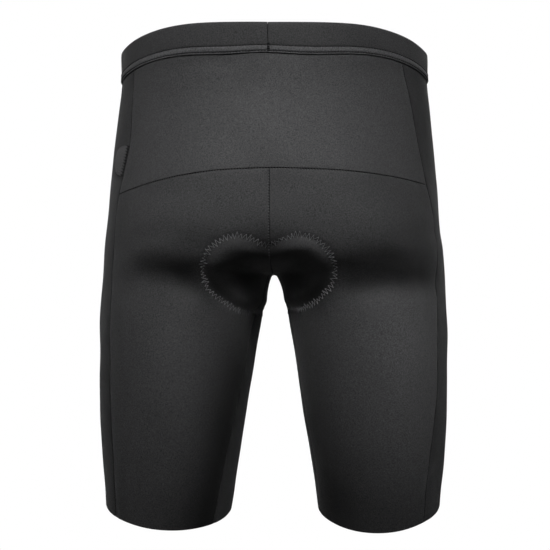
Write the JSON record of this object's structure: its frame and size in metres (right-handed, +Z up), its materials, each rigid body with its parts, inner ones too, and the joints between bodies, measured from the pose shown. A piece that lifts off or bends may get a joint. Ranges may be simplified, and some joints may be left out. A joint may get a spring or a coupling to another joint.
{
  "type": "triathlon shorts, filled out as worn",
  "caption": "Close-fitting knee-length triathlon shorts in dark stretch cloth, hollow as worn, with a wide waistband, back yoke, side panels and a seat pad.",
  "frame": {"origin": "middle of the waist opening, near the waistband's mid height at the sides, where the wearer's waist holds the shorts", "axes": "+Z up out of the waist, +Y the way the wearer faces, +X the wearer's right"},
  "size_m": [0.3274, 0.2304, 0.4535],
  "materials": {
    "cloth": "fine satin stretch knit",
    "side_cloth": "fine ribbed stretch knit",
    "band": "smooth folded stretch band",
    "pad": "brushed padded knit",
    "tab": "satin woven tab"
  },
  "bodies": {
    "root": {"waistband": "band", "yoke_back": "cloth", "seat_left": "cloth", "seat_right": "cloth", "front_left": "cloth", "front_right": "cloth", "side_left": "side_cloth", "side_right": "side_cloth", "inner_leg_left": "side_cloth", "inner_leg_right": "side_cloth", "seat_pad": "pad", "side_tab": "tab"}
  },
  "joints": []
}
